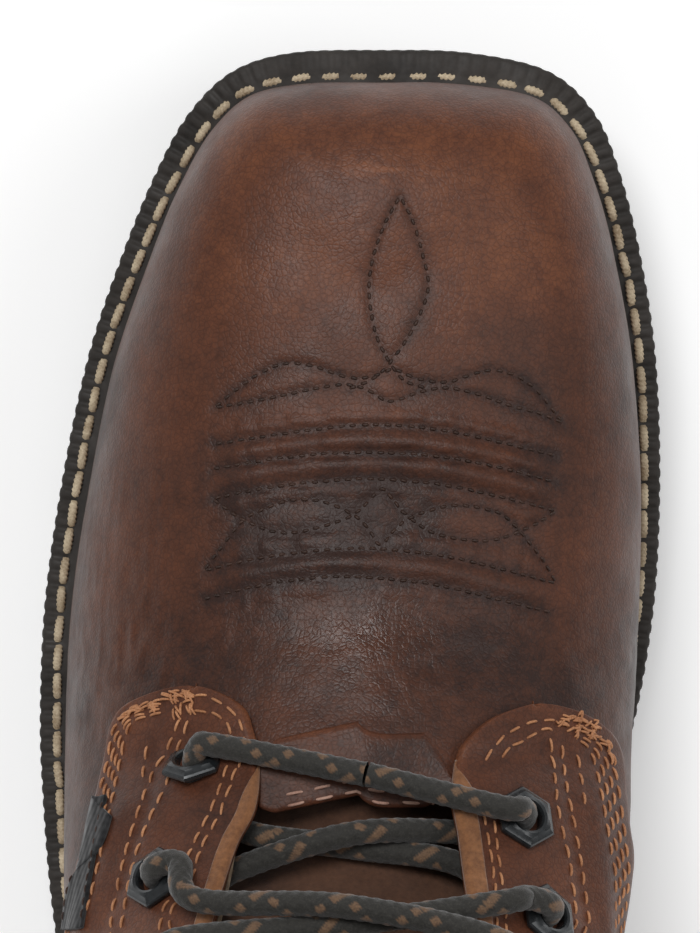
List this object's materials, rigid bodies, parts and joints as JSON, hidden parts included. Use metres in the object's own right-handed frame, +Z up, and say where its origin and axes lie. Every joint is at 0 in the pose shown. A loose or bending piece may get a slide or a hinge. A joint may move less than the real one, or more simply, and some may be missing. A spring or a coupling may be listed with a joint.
{
  "type": "work boot",
  "caption": "Lace-up steel toe work boot for the left foot: wide square toe, ribbed storm welt, stitched leather upper, hex eyelets and speed hooks, tongue, padded collar.",
  "frame": {"origin": "on the ground, at the middle of the boot's length and width", "axes": "+Y from heel to toe, +X to the inner (medial) side of the left foot, +Z up"},
  "size_m": [0.12, 0.314, 0.2577],
  "materials": {
    "sole_rubber": "matt charcoal rubber",
    "heel_stack": "matt dark brown-black",
    "midsole": "matt dark grey",
    "welt_cord": "waxed beige cord",
    "cork": "pressed cork",
    "steel": "plain steel",
    "board": "fibre board",
    "footbed_foam": "cloth-covered foam",
    "gasket": "matt",
    "lining": "brushed tan textile",
    "leather": "oiled reddish-brown, burnished",
    "stiffener": "plain",
    "dark_leather": "dark brown nubuck",
    "padding": "open foam",
    "label": "plain black woven tag",
    "eyelet_black": "satin black",
    "lace": "charcoal braid with tan checks",
    "aglet": "black"
  },
  "bodies": {
    "boot": {"outsole": "sole_rubber", "heel_block": "heel_stack", "heel_top_lift": "sole_rubber", "midsole": "midsole", "welt": "sole_rubber", "welt_stitch": "welt_cord", "cork_filler": "cork", "shank": "steel", "insole_board": "board", "steel_toe_cap": "steel", "toe_cap_gasket": "gasket", "toe_lining": "lining", "vamp": "leather", "vamp_lining": "lining", "quarter_lateral": "leather", "quarter_medial": "leather", "eyestay_lateral": "leather", "eyestay_medial": "leather", "quarter_lining_lateral": "lining", "quarter_lining_medial": "lining", "heel_counter": "stiffener", "counter_cover": "dark_leather", "collar_padding": "padding", "collar_band": "dark_leather", "side_label": "label", "eyelets_lateral": "eyelet_black", "eyelets_medial": "eyelet_black", "washers_lateral": "steel", "washers_medial": "steel", "hooks_lateral": "eyelet_black", "hooks_medial": "eyelet_black", "lace_lateral": "lace", "lace_medial": "lace", "lace_knot": "lace", "bow_loop_lateral": "lace", "bow_loop_medial": "lace", "lace_end_lateral": "lace", "lace_end_medial": "lace", "aglet_lateral": "aglet", "aglet_medial": "aglet", "pull_loop_anchor": "dark_leather"},
    "tongue": {"tongue": "dark_leather", "tongue_padding": "padding"},
    "footbed": {"footbed": "footbed_foam", "heel_cushion": "footbed_foam"},
    "pull_loop": {"pull_loop": "dark_leather"}
  },
  "joints": [
    {"name": "tongue_tilt", "type": "hinge", "parent": "boot", "child": "tongue", "pos_m": [0, 0.038, 0.08], "axis": [1, 0, 0], "range_deg": [0, 12]},
    {"name": "footbed_lift", "type": "hinge", "parent": "boot", "child": "footbed", "pos_m": [0, 0.143, 0.036], "axis": [-1, 0, 0], "range_deg": [0, 6]},
    {"name": "pull_loop_swing", "type": "hinge", "parent": "boot", "child": "pull_loop", "pos_m": [-0.005, -0.1494, 0.235], "axis": [1, 0, 0], "range_deg": [-15, 15], "stiffness_Nm_per_rad": 0.02}
  ]
}
